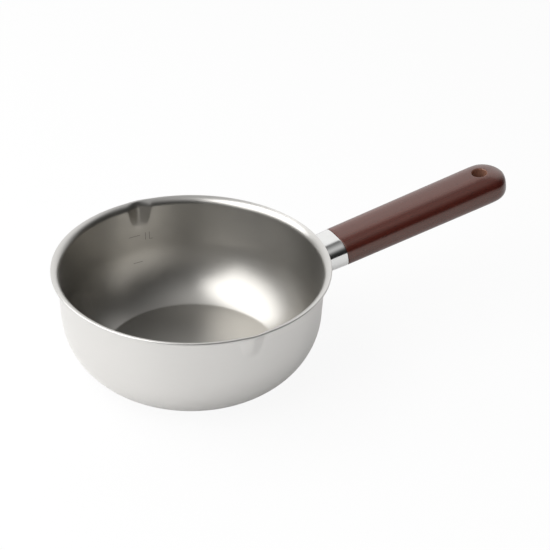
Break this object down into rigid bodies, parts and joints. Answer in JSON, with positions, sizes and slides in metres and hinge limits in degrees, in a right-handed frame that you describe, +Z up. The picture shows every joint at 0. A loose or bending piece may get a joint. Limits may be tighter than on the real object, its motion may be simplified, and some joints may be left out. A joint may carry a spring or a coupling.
{
  "type": "pouring saucepan",
  "caption": "Round steel saucepan with a flared rim, pouring spouts on both sides, a short oval steel socket and a dark wooden handle with a hanging hole.",
  "frame": {"origin": "middle of the flat base, on the surface that the pan stands on", "axes": "+Z up along the bowl's axis, +X along the handle away from the bowl, spouts on the +Y and -Y sides"},
  "size_m": [0.3476, 0.191, 0.0936],
  "materials": {
    "pan_steel": "satin, with a fine even grain inside and out",
    "socket_steel": "polished",
    "grip_wood": "satin oiled, dark reddish brown, grain along the handle",
    "screw_steel": "plain"
  },
  "bodies": {
    "root": {"pan_body": "pan_steel", "handle_socket": "socket_steel", "handle_grip": "grip_wood", "handle_screw": "screw_steel"}
  },
  "joints": []
}
